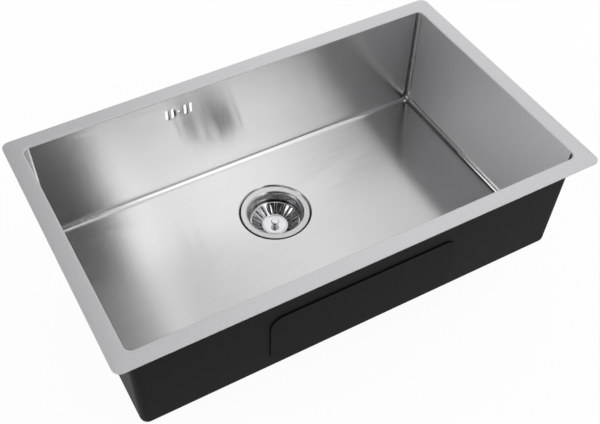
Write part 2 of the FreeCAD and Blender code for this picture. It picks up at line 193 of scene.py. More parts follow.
def spread(tree, factor, low, high):
    limits = tree.nodes.new("ShaderNodeMapRange")
    limits.inputs["From Min"].default_value = NOISE_LOW
    limits.inputs["From Max"].default_value = NOISE_HIGH
    limits.inputs["To Min"].default_value = low
    limits.inputs["To Max"].default_value = high
    tree.links.new(factor, limits.inputs["Value"])
    return limits.outputs["Result"]


def tint(tree, factor, dark, light):
    ramp = tree.nodes.new("ShaderNodeValToRGB")
    ends = ramp.color_ramp.elements
    for end, position, colour in zip(ends, (NOISE_LOW, NOISE_HIGH), (dark, light)):
        end.position = position
        end.color = (*colour, 1)
    tree.links.new(factor, ramp.inputs["Fac"])
    return ramp.outputs["Color"]


def grain(tree, shader, factor, height):
    bump = tree.nodes.new("ShaderNodeBump")
    bump.inputs["Distance"].default_value = height
    tree.links.new(factor, bump.inputs["Height"])
    tree.links.new(bump.outputs["Normal"], shader.inputs["Normal"])


print("the noise is read from", NOISE_LOW, "to", NOISE_HIGH)

# %% [markdown]
# ## Brushed steel
# The bowl is made from brushed sheet, so fine lines run along the floor and the long walls, and
# up the end walls. Such lines smear what the metal mirrors at right angles to them. They are far
# too fine to model as grooves, so the shader's anisotropy does it: it smears along the tangent,
# which is set across the lines. A noise that is stretched along the lines adds the grain that
# can be seen. The end walls look duller and paler in the photograph. Theirs is a rougher finish,
# and a paler, partly matt base colour paints in the extra light that they show.

# %% Brushed steel, for each way that the lines run
LINE_SCALE = 12.0  # patches of tint to the metre, along the lines
FINE = 60.0  # how many times finer the grain is across the lines
GRAIN_DEPTH = 0.012 * MM
TINT_SPREAD, ROUGH_SPREAD = 0.025, 0.02  # how much the lines vary, up and down
# The pale grey is painted light: it makes the end walls' steel paler than the same steel elsewhere.
STEEL_GREY, PAINTED_LIGHT_GREY = (0.80, 0.80, 0.80), (0.85, 0.845, 0.87)


def brushed_steel(name, stretch, across, rough, metal, tone):
    finish, tree, shader = new_finish(name)
    shader.inputs["Metallic"].default_value = metal
    shader.inputs["Anisotropic"].default_value = 1.0
    lines = object_noise(tree, stretch, LINE_SCALE)
    dark, light = ([c * share for c in tone] for share in (1 - TINT_SPREAD, 1 + TINT_SPREAD))
    tree.links.new(tint(tree, lines, dark, light), shader.inputs["Base Color"])
    gloss = spread(tree, lines, rough - ROUGH_SPREAD, rough + ROUGH_SPREAD)
    tree.links.new(gloss, shader.inputs["Roughness"])
    direction = tree.nodes.new("ShaderNodeCombineXYZ")
    for axis, value in zip("XYZ", across):
        direction.inputs[axis].default_value = value
    tree.links.new(direction.outputs["Vector"], shader.inputs["Tangent"])
    grain(tree, shader, lines, GRAIN_DEPTH)
    return finish


floor_steel = brushed_steel("brushed floor steel", (1, FINE, FINE), (0, 1, 0),
                            rough=0.18, metal=1.0, tone=STEEL_GREY)
long_wall_steel = brushed_steel("brushed long wall steel", (1, FINE, FINE), (0, 0, 1),
                                rough=0.18, metal=1.0, tone=STEEL_GREY)
# End walls: the rougher finish is real, while the paler base and lower metallic are painted light.
end_wall_steel_with_painted_light = brushed_steel("brushed end wall steel with painted light", (FINE, FINE, 1), (0, 1, 0),
                               rough=0.36, metal=0.7, tone=PAINTED_LIGHT_GREY)
print("brushed finishes:", floor_steel.name, long_wall_steel.name, end_wall_steel_with_painted_light.name)

# %% [markdown]
# ## Satin and polished steel
# The flange has a satin face that is the same from every side. The folds of the bowl are buffed
# after welding, and the strainer's parts are pressed or turned and then polished. None of these
# has lines, so an even noise moves their colour and gloss a little.

# %% Steel without lines
def plain_steel(name, dark, light, scale, rough, metal=1.0):
    finish, tree, shader = new_finish(name)
    shader.inputs["Metallic"].default_value = metal
    wear = object_noise(tree, (1, 1, 1), scale)
    tree.links.new(tint(tree, wear, dark, light), shader.inputs["Base Color"])
    tree.links.new(spread(tree, wear, *rough), shader.inputs["Roughness"])
    return finish


satin = plain_steel("satin flange steel", (0.74, 0.74, 0.76), (0.84, 0.84, 0.86), 420.0,
                    rough=(0.44, 0.52), metal=0.7)
buffed = plain_steel("buffed fold steel", (0.80, 0.80, 0.80), (0.86, 0.86, 0.86), 300.0,
                     rough=(0.15, 0.20))
polished = plain_steel("polished steel", (0.78, 0.78, 0.79), (0.84, 0.84, 0.85), 60.0,
                       rough=(0.11, 0.17))
pressed = plain_steel("pressed cup steel", (0.76, 0.76, 0.76), (0.82, 0.82, 0.82), 60.0,
                      rough=(0.24, 0.30))
fixing = plain_steel("plain fixing steel", (0.50, 0.50, 0.50), (0.58, 0.58, 0.58), 200.0,
                     rough=(0.25, 0.35))
print("plain finishes:", satin.name, buffed.name, polished.name, pressed.name, fixing.name)

# %% [markdown]
# ## Coat, rubber and plastic
# The outside is sprayed with a thick black coat against noise. It is matt with a fine orange
# peel, and the rubber pads under it take the same look. The hidden waste is white polypropylene.
# The peel is too fine to show in the outline, so a bump is enough and the mesh stays smooth.

# %% Matt finishes
MATT_SPECULAR = 0.08


def matt(name, dark, light, rough, scale, height):
    finish, tree, shader = new_finish(name)
    shader.inputs["Roughness"].default_value = rough
    shader.inputs["Specular IOR Level"].default_value = MATT_SPECULAR
    peel = object_noise(tree, (1, 1, 1), scale)
    tree.links.new(tint(tree, peel, dark, light), shader.inputs["Base Color"])
    grain(tree, shader, peel, height)
    return finish


black_coat = matt("black sprayed coat", (0.004,) * 3, (0.006,) * 3,
                  rough=0.55, scale=700.0, height=0.15 * MM)
pad_black = matt("black coated pads", (0.004,) * 3, (0.006,) * 3,
                 rough=0.58, scale=700.0, height=0.15 * MM)
rubber = matt("black rubber", (0.010,) * 3, (0.014,) * 3,
              rough=0.6, scale=400.0, height=0.05 * MM)
white_plastic = matt("white polypropylene", (0.60, 0.60, 0.57), (0.66, 0.66, 0.63),
                     rough=0.42, scale=90.0, height=0.02 * MM)
print("matt finishes:", black_coat.name, pad_black.name, rubber.name, white_plastic.name)

# %% [markdown]
# ## The folded bowl
# The real bowl is folded and welded from sheet, and its upright corners and its fold into the
# floor have a small radius. Plates and bends could be joined one by one, but the round corners
# where three bends meet are hard to build that way. A cube without its lid, bevelled along its
# edges, gives them by itself. Its floor is taken out again, because four panels take its place.
# A grown copy of the same form will serve for the coat outside.

# %% A folded box
FOLD_STEPS = 10  # faces round a fold
LEVEL = 0.999  # a face is level when its normal is nearer to upright than this


def round_off(form, geom, radius, steps, affect="EDGES"):
    """Bends edges, or the corners of an outline, to a radius."""
    bmesh.ops.bevel(form, geom=geom, offset=radius, offset_type="OFFSET", segments=steps,
                    profile=0.5, affect=affect, material=-1)


def folded_box(grow):
    """The bowl's walls and folds, grown outwards all round."""
    form = bmesh.new()
    bmesh.ops.create_cube(form, size=1.0)
    depth = DEPTH + grow
    lean = LEAN * depth / DEPTH
    wide, deep = OPENING_X + grow, OPENING_Y + grow
    bmesh.ops.scale(form, vec=(2 * wide, 2 * deep, depth), verts=form.verts)
    bmesh.ops.translate(form, vec=(0, 0, -depth / 2), verts=form.verts)
    foot = [v for v in form.verts if v.co.z < -depth / 2]
    bmesh.ops.scale(form, vec=(1 - lean / wide, 1 - lean / deep, 1), verts=foot)
    lid = [f for f in form.faces if f.normal.z > LEVEL]
    bmesh.ops.delete(form, geom=lid, context="FACES_ONLY")
    round_off(form, [e for e in form.edges if not e.is_boundary], FOLD + grow, FOLD_STEPS)
    base = [f for f in form.faces if f.normal.z < -LEVEL]
    bmesh.ops.delete(form, geom=base, context="FACES_ONLY")
    return form


bowl = folded_box(0)
print("the walls and folds have", len(bowl.faces), "faces")

# %% [markdown]
# ## The creased floor
# Four flat panels fall a few millimetres to the drain and meet in creases that run to the corners.
# A fan of triangles round the drain could fill the floor, but it would break up what the steel
# mirrors. So each panel is one face. Its inner edge is an arc round the drain, spun from crease
# to crease and dropped on the panel's own plane, and the four arcs make one round edge.

# %% An arc round the drain
ARC_STEP = math.radians(2.5)
ARC_LEAST = 8  # steps in the shortest arc


def bearing(point):
    return math.atan2(point.co.y - DRAIN.y, point.co.x - DRAIN.x)


def arc_round_drain(form, radius, start, turn):
    """New points along an arc round the drain, in their order."""
    first = form.verts.new((radius * math.cos(start), DRAIN.y + radius * math.sin(start), 0))
    steps = max(ARC_LEAST, round(turn / ARC_STEP))
    bmesh.ops.spin(form, geom=[first], cent=DRAIN, axis=UP, angle=turn, steps=steps)
    arc = [first]
    while True:
        onward = [e.other_vert(arc[-1]) for e in arc[-1].link_edges]
        onward = [v for v in onward if v not in arc]
        if not onward:
            return arc
        arc.append(onward[0])


print("a full ring round the drain has about", round(2 * math.pi / ARC_STEP), "steps")

# %% Floor panels between the arc and the folds
def creased_panels(form, grow, radius):
    """Fills the floor, and returns the edges of the round hole in it."""
    apex = Vector((0, DRAIN.y, -(DEPTH + grow + FALL)))
    low = min(v.co.z for v in form.verts)
    corners = sorted((v for v in form.verts if v.co.z < low + NEAR), key=bearing)
    for here, there in zip(corners, corners[1:] + corners[:1]):
        turn = (bearing(there) - bearing(here)) % (2 * math.pi)
        arc = arc_round_drain(form, radius, bearing(here), turn)
        normal = geometry.normal(here.co, there.co, apex)
        for point in arc:
            point.co = geometry.intersect_line_plane(point.co, point.co + UP, apex, normal)
        form.faces.new([here] + arc + [there])
    bmesh.ops.remove_doubles(form, verts=form.verts, dist=2 * NEAR)
    return [e for e in form.edges if e.is_boundary and max(v.co.z for v in e.verts) < -DEPTH]


floor_rim = creased_panels(bowl, 0, RECESS_TOP)
print("the floor's round edge has", len(floor_rim), "steps")

# %% [markdown]
# ## The pressed recess
# A press pushes a shallow round recess into the floor, so that the strainer's rim lies flush. A
# separate turned ring would show a seam, so the recess grows out of the floor itself. The rim of
# the hole is extruded twice, once down the step and once along the dish, and each time it is
# scaled about the drain and flattened to its level. The two upper edges get a small bend.

# %% Extruding a loop of edges to a new ring
RECESS_BEND, RECESS_STEPS = 0.9 * MM, 4


def drop_ring(form, edges, shrink, height):
    """Extrudes a round edge to a smaller ring at a height, and returns the ring's edges."""
    made = bmesh.ops.extrude_edge_only(form, edges=edges)["geom"]
    points = [g for g in made if isinstance(g, bmesh.types.BMVert)]
    centre = Matrix.Translation((-DRAIN.x, -DRAIN.y, -height))
    bmesh.ops.scale(form, vec=(shrink, shrink, 0), space=centre, verts=points)
    return [e for e in made if isinstance(e, bmesh.types.BMEdge) and e.is_boundary]


recess_step = drop_ring(bowl, floor_rim, RECESS_FOOT / RECESS_TOP, STEP_Z)
drop_ring(bowl, recess_step, HOLE / RECESS_FOOT, HOLE_Z)
round_off(bowl, floor_rim + recess_step, RECESS_BEND, RECESS_STEPS)
print("with the recess, the bowl has", len(bowl.faces), "faces")

# %% [markdown]
# ## Overflow slots
# Two pairs of upright slots and a screw hole are punched through the rear wall. Each outline
# starts as a circle. The upper half of a slot's circle is moved up and the lower half down,
# which leaves straight sides. A boolean could cut the holes too, but it may move or double edges
# nearby. The wall is one flat face, so it is simply filled again with the outlines left out.

# %% Outlines of the slots and the screw hole
SLOT_HALF = 2.5 * MM  # half a slot's width, and the screw hole's radius
SLOT_STRAIGHT = 7.5 * MM  # half the length of a slot's straight sides
SLOT_NEAR, SLOT_STEP = 10.8 * MM, 9.7 * MM  # from the screw hole to a slot, and to the next
SLOT_PLACES = [side * (SLOT_NEAR + step * SLOT_STEP) for side in (-1, 1) for step in (0, 1)]
OUTLINE_POINTS = 24


def round_outline(form, across, straight):
    points = bmesh.ops.create_circle(form, segments=OUTLINE_POINTS, radius=SLOT_HALF)["verts"]
    half_step = Matrix.Rotation(math.pi / OUTLINE_POINTS, 3, "Z")
    bmesh.ops.rotate(form, cent=(0, 0, 0), matrix=half_step, verts=points)
    for side in (-1, 1):
        half = [v for v in points if v.co.y * side > 0]
        bmesh.ops.translate(form, vec=(across, side * straight, 0), verts=half)
    return points


outlines = [round_outline(bowl, across, SLOT_STRAIGHT) for across in SLOT_PLACES]
outlines.append(round_outline(bowl, 0, 0))
print("outlines to punch:", len(outlines))

# %% Punching holes in a long wall
FACING = 0.99  # a face whose normal has more than this as its Y squared looks along Y


def lay_on_wall(form, points, wall_y):
    """Turns a level outline upright and lays it on the leaning rear wall."""
    upright = Matrix.Rotation(math.pi / 2, 3, "X")
    bmesh.ops.rotate(form, cent=(0, 0, 0), matrix=upright, verts=points)
    bmesh.ops.translate(form, vec=(OVERFLOW.x, 0, OVERFLOW.z), verts=points)
    for point in points:
        point.co.y = wall_y + point.co.z * LEAN / DEPTH


def punch_wall(form, wall_y, outlines):
    """Fills the rear wall's face again, with the outlines as holes."""
    rear = [f for f in form.faces if f.normal.y ** 2 > FACING and f.calc_center_median().y > 0]
    wall = max(rear, key=lambda f: f.calc_area())
    border = list(wall.edges)
    bmesh.ops.delete(form, geom=[wall], context="FACES_ONLY")
    for points in outlines:
        lay_on_wall(form, points, wall_y)
        border += {e for point in points for e in point.link_edges}
    bmesh.ops.triangle_fill(form, use_beauty=True, use_dissolve=False, edges=border)


punch_wall(bowl, OPENING_Y, outlines)
print("with the overflow, the bowl has", len(bowl.faces), "faces")

# %% [markdown]
# ## The flange
# The flange is the flat band that is glued under the worktop. Widening the opening's edge would
# give it far too large corners. Instead, a rectangle with its own small corners is drawn round
# the opening, with as many points as the opening has, and a bridge between the two loops makes
# the band. The edge into the walls then gets its small bend, which catches a thin line of light
# in the photograph.

# %% Bridging the flange
LIP_STEPS = 5


def flat_rectangle(form, half_x, half_y):
    """A level face round the origin, by the corners that come back."""
    corners = bmesh.ops.create_grid(form, x_segments=1, y_segments=1, size=1.0)["verts"]
    bmesh.ops.scale(form, vec=(half_x, half_y, 1), verts=corners)
    return corners


opening = [e for e in bowl.edges if e.is_boundary and min(v.co.z for v in e.verts) > -NEAR]
plate_corners = flat_rectangle(bowl, FLANGE_X, FLANGE_Y)
round_off(bowl, plate_corners, FLANGE_CORNER, FOLD_STEPS, "VERTICES")
plate = max(bowl.faces, key=lambda f: f.calc_area())
flange_outline = list(plate.edges)
bmesh.ops.delete(bowl, geom=[plate], context="FACES_ONLY")
bmesh.ops.bridge_loops(bowl, edges=opening + flange_outline)
round_off(bowl, opening, LIP, LIP_STEPS)
point_up(bowl)
print("bridged", len(opening), "edges of the opening to", len(flange_outline), "of the flange")

# %% [markdown]
# ## Five finishes on one sheet
# A real sink is ground panel by panel: lines on the floor and the walls, bright folds between
# them, and a satin flange. The regions could be pieces of their own, but the sheet would then
# open at their seams. So it stays one mesh, and each face takes the finish of its region. A face
# that looks almost straight along an axis belongs to a panel, and the others make up the folds.
# The creases between the floor's panels are marked sharp, or the shading would round them off.

# %% A finish for each region
BOWL_STEELS = [satin, floor_steel, long_wall_steel, end_wall_steel_with_painted_light, buffed]
SATIN_DEPTH = 1.2 * LIP  # the satin finish goes this far down over the lip
FLAT_ENOUGH = 0.998  # a panel's normal is nearer to an axis than this
UPWARD = 0.7  # a panel whose normal rises more than this is part of the floor


def bowl_steel(face):
    normal = face.normal
    if face.calc_center_median().z > -SATIN_DEPTH:
        return satin
    if max(abs(c) for c in normal) < FLAT_ENOUGH:
        return buffed
    if abs(normal.z) > UPWARD:
        return floor_steel
    return end_wall_steel_with_painted_light if abs(normal.x) > abs(normal.y) else long_wall_steel


for face in bowl.faces:
    face.material_index = BOWL_STEELS.index(bowl_steel(face))
for number, steel in enumerate(BOWL_STEELS):
    print(steel.name, "is on", sum(f.material_index == number for f in bowl.faces), "faces")

# %% Crisp creases, and the finished bowl
PANEL_AREA = 0.01  # m2; every panel of the floor is larger than this

panels = {f for f in bowl.faces if f.normal.z > FLAT_ENOUGH and f.calc_area() > PANEL_AREA
          and f.calc_center_median().z < -DEPTH / 2}
creases = [e for e in bowl.edges if len(e.link_faces) == 2 and panels.issuperset(e.link_faces)]
for crease in creases:
    crease.smooth = False
print("panels", len(panels), "creases", len(creases))
bowl_piece = finish_piece("steel_bowl", bowl, "sink", ["bowl"], BOWL_STEELS)
make_sheet(bowl_piece, SHEET)

# %% [markdown]
# ## The black coat
# The coat is the same folded form, one sheet and one coat larger, cut off under the flange. It
# stays clear of the drain, where the waste's rubber seals on bare steel, and of a masked patch
# round the overflow. Its skin is turned outwards, and the coat's thickness goes inwards from it.

# %% Spraying the outside
MASK_X, MASK_Z = 30 * MM, 17 * MM  # half sizes of the bare patch
OUTSIDE = SHEET + COAT

coat = folded_box(OUTSIDE)
creased_panels(coat, OUTSIDE, COAT_STOP)
mask = flat_rectangle(coat, MASK_X, MASK_Z)
bmesh.ops.delete(coat, geom=[mask[0].link_faces[0]], context="FACES_ONLY")
punch_wall(coat, OPENING_Y + OUTSIDE, [mask])
everything = coat.verts[:] + coat.edges[:] + coat.faces[:]
bmesh.ops.bisect_plane(coat, geom=everything, plane_co=(0, 0, -SHEET), plane_no=UP,
                       clear_outer=True)
point_up(coat)
bmesh.ops.reverse_faces(coat, faces=coat.faces)
coat_piece = finish_piece("black_coat", coat, "sink",
                          ["outer_coating"], [black_coat])
make_sheet(coat_piece, COAT)

# %% [markdown]
# ## Turned strainer parts
# The strainer's parts are round. Cylinders could be stacked and cut, but every step between them
# would need its own care. A turner works from one section instead, and so does this: a chain of
# corners from the outside in is spun once round the drain's axis. A corner is rounded with the
# vertex bevel before the spin, as the nose of a lathe tool would round it.

# %% Drawing a section and spinning it
ROUND_STEPS = 96  # faces round a full turn
CORNER_STEPS = 5  # faces round a corner of the section


def section(form, corners):
    """A chain through corners of radius, height and bend, beside the drain's axis."""
    chain = [form.verts.new((DRAIN.x + radius, DRAIN.y, height)) for radius, height, _ in corners]
    for start, end in zip(chain, chain[1:]):
        form.edges.new((start, end))
    for point, (_, _, bend) in zip(chain, corners):
        if bend:
            round_off(form, [point], bend, CORNER_STEPS, "VERTICES")


def spin_round(form):
    everything = form.verts[:] + form.edges[:]
    bmesh.ops.spin(form, geom=everything, cent=DRAIN, axis=UP, angle=2 * math.pi, steps=ROUND_STEPS,
                   use_merge=True)


print("a turned piece has", ROUND_STEPS, "steps to a turn")

# %% [markdown]
# ## The strainer cup
# The cup is pressed from thin sheet. Its flat rim lies on a rubber ring in the recess and turns
# down into the round wall. The floor has a cross over the outlet. Bars could be laid across an
# open floor, but the real cross is stamped from the floor itself. So four planes cut the floor
# along the bars' edges, and the faces between the bars, the hub and the outlet's edge come out.

# %% The cup's round form
CUP_SHEET = 0.9 * MM
CUP_RIM, CUP_WALL, CUP_EASE = 56.5 * MM, 43.8 * MM, 3.2 * MM
CUP_RIM_Z, CUP_FLOOR_Z = -191.6 * MM, -236 * MM
OUTLET, CROSS_HUB, BOLT_HOLE = 21 * MM, 9 * MM, 3.25 * MM  # radii

cup = bmesh.new()
section(cup, [(CUP_RIM, CUP_RIM_Z - 0.8 * MM, 0), (CUP_RIM, CUP_RIM_Z, 0.5 * MM),
              (CUP_WALL + CUP_EASE, CUP_RIM_Z, 1.4 * MM), (CUP_WALL, CUP_RIM_Z - CUP_EASE, 1.4 * MM),
              (CUP_WALL, CUP_FLOOR_Z, 2 * MM), (OUTLET, CUP_FLOOR_Z, 0),
              (CROSS_HUB, CUP_FLOOR_Z, 0), (BOLT_HOLE, CUP_FLOOR_Z, 0)])
spin_round(cup)
print("the round cup has", len(cup.faces), "faces")

# %% The cross in its floor
CROSS_HALF = 2.5 * MM  # half the width of a bar


def outlet_faces(form):
    """Faces of the cup's floor between the hub and the outlet's edge."""
    reach = {f: (f.calc_center_median() - DRAIN).xy.length for f in form.faces}
    return [f for f in form.faces if CROSS_HUB < reach[f] < OUTLET]


for side in (-CROSS_HALF, CROSS_HALF):
    for across in (Vector((1, 0, 0)), Vector((0, 1, 0))):
        ring = outlet_faces(cup)
        around = list({g for f in ring for g in (*f.verts, *f.edges)}) + ring
        bmesh.ops.bisect_plane(cup, geom=around, plane_co=DRAIN + across * side, plane_no=across)
windows = [f for f in outlet_faces(cup)
           if min(abs(c) for c in (f.calc_center_median() - DRAIN).xy) > CROSS_HALF]
bmesh.ops.delete(cup, geom=windows, context="FACES")
point_up(cup)
cup_piece = finish_piece("strainer_cup_pressing", cup, "sink",
                         ["strainer_cup"], [pressed])
make_sheet(cup_piece, CUP_SHEET)

# %% [markdown]
# ## The slotted basket
# The basket is what the eye goes to: eighteen polished petals with a dark slot between each two.
# Eighteen slots could be cut one after the other, but one sector with a slot in its middle is
# enough. Its section is spun over a single petal's width, the slot is cut with planes, and the
# sheet between two slots is dished a little, so that every petal mirrors the room in its own
# way. A second spin then copies the sector round the axis.

# %% One sector of the basket
PETALS = 18
PETAL_TURN = 2 * math.pi / PETALS
PETAL_STEPS, SLOPE_CUTS = 10, 8  # faces across a petal, and cuts along it
BASKET_SHEET = 0.8 * MM
BASKET_RIM, BASKET_MOUTH, BASKET_FOOT = 41.3 * MM, 38.9 * MM, 21.6 * MM  # radii
BASKET_RIM_Z, BASKET_FOOT_Z = -211 * MM, -223.5 * MM
DISC, DISC_RISE, POST_HOLE = 19.3 * MM, 0.5 * MM, 2.45 * MM
DISC_BEND = 0.15 * MM

sector = bmesh.new()
section(sector, [(BASKET_RIM, BASKET_RIM_Z - 0.7 * MM, 0), (BASKET_RIM, BASKET_RIM_Z, 0.4 * MM),
                 (BASKET_MOUTH, BASKET_RIM_Z, 0.8 * MM), (BASKET_FOOT, BASKET_FOOT_Z, 0.8 * MM),
                 (DISC, BASKET_FOOT_Z, DISC_BEND),
                 (DISC - DISC_RISE, BASKET_FOOT_Z + DISC_RISE, DISC_BEND),
                 (POST_HOLE, BASKET_FOOT_Z + DISC_RISE, 0)])
slope = max(sector.edges, key=lambda e: abs(e.verts[0].co.z - e.verts[1].co.z))
bmesh.ops.subdivide_edges(sector, edges=[slope], cuts=SLOPE_CUTS)
half_turn = Matrix.Rotation(-PETAL_TURN / 2, 3, "Z")
bmesh.ops.rotate(sector, cent=DRAIN, matrix=half_turn, verts=sector.verts)
bmesh.ops.spin(sector, geom=sector.verts[:] + sector.edges[:], cent=DRAIN, axis=UP,
               angle=PETAL_TURN, steps=PETAL_STEPS)
print("one sector has", len(sector.faces), "faces")

# %% A slot, and dished petals beside it
SLOT_IN, SLOT_OUT, SLOT_WIDE = 22.4 * MM, 38 * MM, 3.2 * MM
PETAL_DISH = 0.6 * MM  # how deep a petal is at its middle

cuts = [(Vector((0, side * SLOT_WIDE / 2, 0)), Vector((0, 1, 0))) for side in (-1, 1)]
cuts += [(Vector((reach, 0, 0)), Vector((1, 0, 0))) for reach in (SLOT_IN, SLOT_OUT)]
for place, across in cuts:
    everything = sector.verts[:] + sector.edges[:] + sector.faces[:]
    bmesh.ops.bisect_plane(sector, geom=everything, plane_co=DRAIN + place, plane_no=across)
middles = {f: f.calc_center_median() - DRAIN for f in sector.faces}
slot = [f for f, m in middles.items() if abs(m.y) < SLOT_WIDE / 2 and SLOT_IN < m.x < SLOT_OUT]
bmesh.ops.delete(sector, geom=slot, context="FACES")
for point in sector.verts:
    along = ((point.co - DRAIN).xy.length - BASKET_FOOT) / (BASKET_MOUTH - BASKET_FOOT)
    if 0 < along < 1:
        aside = math.sin(bearing(point) * PETALS / 2)
        point.co.z -= PETAL_DISH * math.sin(math.pi * along) * aside ** 2
print("the slot took out", len(slot), "faces and left", len(sector.faces))

# %% All petals round the axis
last_turn = 2 * math.pi - PETAL_TURN
everything = sector.verts[:] + sector.edges[:] + sector.faces[:]
bmesh.ops.spin(sector, geom=everything, cent=DRAIN, axis=UP, angle=last_turn, steps=PETALS - 1,
               use_duplicate=True)
point_up(sector)
basket_piece = finish_piece("petal_basket", sector, "basket",
                            ["basket"], [polished])
make_sheet(basket_piece, BASKET_SHEET)

# %% [markdown]
# ## The lifting knob
# The knob is turned from solid steel: a small flat head on a stem, whose thin post goes down
# through the basket. A section that starts and ends on the axis gives a closed solid when it is
# spun, so the knob needs no sheet.

# %% Turning the knob
KNOB, STEM, POST = 6.7 * MM, 2.8 * MM, 2.4 * MM  # radii
KNOB_TOP, KNOB_UNDER = -213.5 * MM, -217.1 * MM
STEM_FOOT, POST_FOOT = -223.45 * MM, -230.3 * MM

knob = bmesh.new()
section(knob, [(0, KNOB_TOP, 0), (KNOB, KNOB_TOP, 1.2 * MM), (KNOB, KNOB_UNDER, 0.9 * MM),
               (STEM, KNOB_UNDER, 0.6 * MM), (STEM, STEM_FOOT, 0), (POST, STEM_FOOT, 0),
               (POST, POST_FOOT, 0), (0, POST_FOOT, 0)])
spin_round(knob)
bmesh.ops.remove_doubles(knob, verts=knob.verts, dist=NEAR)
bmesh.ops.recalc_face_normals(knob, faces=knob.faces)
knob_piece = finish_piece("lifting_knob", knob, "basket",
                          ["knob_post"], [polished])
crisp = knob_piece.modifiers.new("flat faces", "WEIGHTED_NORMAL")
crisp.keep_sharp = True

# %% [markdown]
# ## Finishes for the CAD solids
# The other nodes are mouldings, rubber and one bolt, which stay as the CAD made them. Nearly all
# of them are matt, so their small facets don't show. Each gets its finish in place of the
# frame's plain one.

# %% Giving the CAD nodes their finish
CAD_FINISHES = {
    "front_sound_pad": pad_black, "rear_sound_pad": pad_black, "left_sound_pad": pad_black,
    "right_sound_pad": pad_black, "left_base_pad": pad_black, "right_base_pad": pad_black,
    "rim_seal": rubber, "body_seal": rubber, "stopper_seal": rubber,
    "waste_body": white_plastic, "clamp_bolt": fixing,
}
for node, finish in CAD_FINISHES.items():
    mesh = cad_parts[node].data
    mesh.materials.clear()
    mesh.materials.append(finish)
print("CAD nodes with a finish:", len(CAD_FINISHES))

# %% [markdown]
# ## A white ground
# The photograph has a white ground with hardly a shadow. Brighter lamps would turn a floor white
# too, but they would also wash out the sink. So the ground mostly shows a white of its own to the
# camera and to the steel that mirrors it, and the small rest of it takes the sink's shadow. It is
# clear from below, so that the waste can be looked at.

# %% Rays that see the surroundings
SEEN_RAYS = ("Is Camera Ray", "Is Glossy Ray", "Is Transmission Ray")


def seen_ray(tree):
    """1 where a ray shows the surroundings, and 0 where it only brings light."""
    ray = tree.nodes.new("ShaderNodeLightPath")
    seen = ray.outputs[SEEN_RAYS[0]]
    for kind in SEEN_RAYS[1:]:
        either = tree.nodes.new("ShaderNodeMath")
        either.operation = "MAXIMUM"
        tree.links.new(seen, either.inputs[0])
        tree.links.new(ray.outputs[kind], either.inputs[1])
        seen = either.outputs["Value"]
    return seen


print("kinds of ray that see:", len(SEEN_RAYS))

# %% The ground
GLOW_SHARE = 0.95  # how much of the ground is its own white; the rest takes the shadow
GROUND_GREY, GROUND_ROUGH = (0.9, 0.9, 0.9, 1), 0.9
GROUND_HALF = 7  # metres from its middle to a side


def ground_finish():
    finish, tree, shader = new_finish("white ground")
    shader.inputs["Base Color"].default_value = GROUND_GREY
    shader.inputs["Roughness"].default_value = GROUND_ROUGH
    glow = tree.nodes.new("ShaderNodeEmission")
    blend = tree.nodes.new("ShaderNodeMixShader")
    share = tree.nodes.new("ShaderNodeMath")
    share.operation = "MULTIPLY"
    share.inputs[1].default_value = GLOW_SHARE
    side = tree.nodes.new("ShaderNodeNewGeometry")
    clear = tree.nodes.new("ShaderNodeBsdfTransparent")
    one_sided = tree.nodes.new("ShaderNodeMixShader")
    tree.links.new(seen_ray(tree), share.inputs[0])
    tree.links.new(share.outputs["Value"], blend.inputs["Fac"])
    tree.links.new(shader.outputs["BSDF"], blend.inputs[1])
    tree.links.new(glow.outputs["Emission"], blend.inputs[2])
    tree.links.new(side.outputs["Backfacing"], one_sided.inputs["Fac"])
    tree.links.new(blend.outputs["Shader"], one_sided.inputs[1])
    tree.links.new(clear.outputs["BSDF"], one_sided.inputs[2])
    tree.links.new(one_sided.outputs["Shader"], tree.nodes["Material Output"].inputs["Surface"])
    return finish


plane = bmesh.new()
ground_corners = flat_rectangle(plane, GROUND_HALF, GROUND_HALF)
bmesh.ops.translate(plane, vec=(0, 0, cad_box[0].z), verts=ground_corners)
ground = as_object("ground", plane, [ground_finish()])
print("ground at", round(cad_box[0].z, 4))

# %% [markdown]
# ## A tent for the reflections
# Brushed steel only looks like steel when it mirrors light and dark. A lamp or a black card could
# stand for each zone in the steel, but a single cloth tent, as it is used for catalogue pictures
# of metal, keeps all of them in one table. Only reflections show it. The floor and the long
# walls smear it across their lines, so the cloth only has to change from left to right. It is
# bright to the right, black above the camera and bright again far to the left, and each change
# stands where the photograph shows the edge of a dark zone. The half in front of the sink and
# the half behind it have levels of their own. A pale patch in the roof keeps the steel bright
# when the sink is looked at from above.

# %% The light on the cloth
TENT = [  # how far to the right, from -1 to 1, and the cloth's light there, in front and behind
    (-1.00, 0.10, 0.60), (-0.80, 0.12, 1.30), (-0.72, 0.15, 1.90), (-0.67, 0.10, 1.00),
    (-0.63, 0.03, 0.03), (0.00, 0.02, 0.02), (0.05, 0.02, 0.15), (0.09, 0.02, 0.26),
    (0.125, 0.10, 0.48), (0.15, 1.80, 0.85), (0.19, 1.30, 0.65), (0.29, 1.42, 0.80),
    (0.37, 1.22, 0.85), (0.46, 0.70, 0.72), (0.60, 0.40, 0.68), (1.00, 0.80, 0.40),
]
IN_FRONT, BEHIND = 1, 2  # columns of the table
TENT_LIGHT = 2.0  # the lamp behind the cloth; the ramps hold shares of it


def cloth_ramp(tree, reach, half):
    ramp = tree.nodes.new("ShaderNodeValToRGB")
    stops = ramp.color_ramp.elements
    while len(stops) < len(TENT):
        stops.new(1)  # each stop gets its place below
    for stop, row in zip(stops, TENT):
        stop.position = (row[0] + 1) / 2
        share = row[half] / TENT_LIGHT
        stop.color = (share, share, share, 1)
    tree.links.new(reach, ramp.inputs["Fac"])
    return ramp.outputs["Color"]


print("tent stops:", len(TENT))

# %% The cloth's finish
SEAM = 0.1  # the front half fades into the rear half over this far to each side
ROOF_START, ROOF_FULL = 0.90, 0.97  # heights on a tent of radius 1
ROOF_SHARE = (0.35, 0.35, 0.35, 1)


